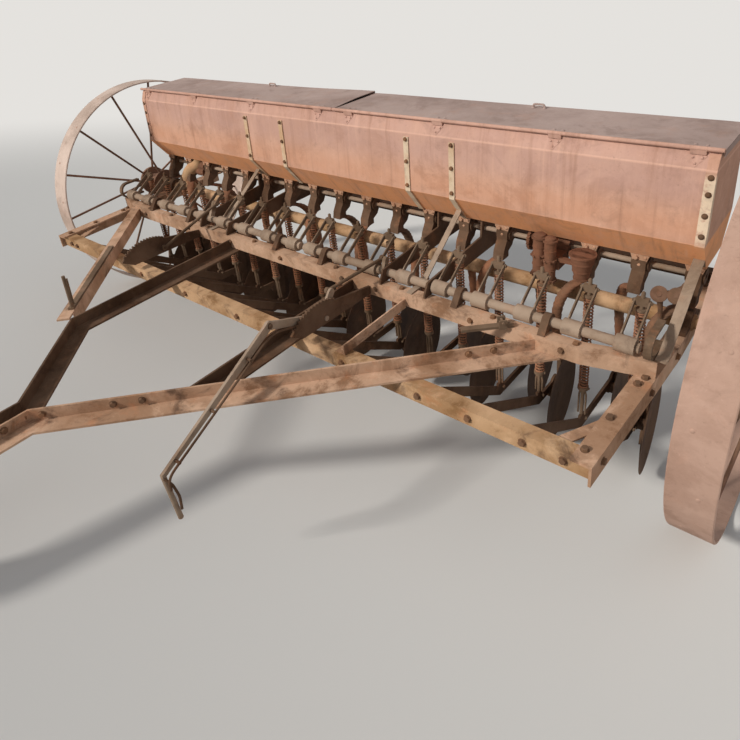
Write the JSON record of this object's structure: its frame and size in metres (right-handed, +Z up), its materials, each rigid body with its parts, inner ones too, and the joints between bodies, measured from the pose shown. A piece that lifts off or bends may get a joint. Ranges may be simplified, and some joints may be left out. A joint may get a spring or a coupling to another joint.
{
  "type": "seed drill",
  "caption": "Rust-worn towed seed drill: long lidded grain box over a row of disc openers, on two tall spoked steel wheels with a drawbar and parking leg.",
  "frame": {"origin": "middle of the whole part's box at ground level, between the wheels in X", "axes": "+X to the machine's right end as the picture shows it, +Y to the back, +Z up"},
  "size_m": [3.668, 2.9957, 1.3194],
  "materials": {
    "pale_rust": "rusted",
    "orange_rust": "rusted",
    "mauve_rust": "rusted",
    "dark_rust": "rusted"
  },
  "bodies": {
    "frame": {"front_beam": "orange_rust", "side_members": "orange_rust", "cross_rail": "orange_rust", "rail_fittings": "mauve_rust", "rear_beam": "dark_rust", "beam_braces": "orange_rust", "axle": "orange_rust", "axle_caps": "dark_rust", "drawbar_arm_right": "orange_rust", "drawbar_arm_left": "orange_rust", "drawbar_diagonal_left": "orange_rust", "drawbar_bar_right": "orange_rust", "hitch_clevis": "dark_rust", "stand_bracket": "dark_rust", "stand_leg": "dark_rust", "grain_box": "pale_rust", "box_end_left": "pale_rust", "box_end_right": "pale_rust", "box_straps": "orange_rust", "box_struts": "mauve_rust", "box_sills": "dark_rust", "lid_hinge_rod": "mauve_rust", "feed_cups": "dark_rust", "feed_shaft": "mauve_rust", "feed_drive_right": "dark_rust", "feed_drive_left": "dark_rust", "seed_tubes": "orange_rust", "rock_shaft_left": "mauve_rust", "rock_shaft_right": "mauve_rust", "rock_bearings": "dark_rust", "lift_links": "mauve_rust", "pressure_rods": "mauve_rust", "drag_bars": "dark_rust", "drag_pivot": "dark_rust", "disc_blades": "dark_rust", "disc_boots": "dark_rust", "hand_lever_left": "mauve_rust", "hand_lever_right": "mauve_rust", "lever_sector_left": "dark_rust", "lever_sector_right": "dark_rust"},
    "wheel_left": {"rim_left": "mauve_rust", "hub_left": "mauve_rust"},
    "wheel_right": {"rim_right": "mauve_rust", "hub_right": "mauve_rust"},
    "lid_left": {"lid_left": "mauve_rust"},
    "lid_right": {"lid_right": "mauve_rust"}
  },
  "joints": [
    {"name": "wheel_left_turn", "type": "hinge", "parent": "frame", "child": "wheel_left", "pos_m": [-1.707, 0.85287, 0.645], "axis": [1, 0, 0], "continuous": true},
    {"name": "wheel_right_turn", "type": "hinge", "parent": "frame", "child": "wheel_right", "pos_m": [1.707, 0.85287, 0.645], "axis": [1, 0, 0], "continuous": true},
    {"name": "lid_left_open", "type": "hinge", "parent": "frame", "child": "lid_left", "pos_m": [-0.78, 0.70118, 1.25188], "axis": [1, 0, 0], "range_deg": [0, 110]},
    {"name": "lid_right_open", "type": "hinge", "parent": "frame", "child": "lid_right", "pos_m": [0.78, 0.70118, 1.25188], "axis": [1, 0, 0], "range_deg": [0, 110]}
  ]
}
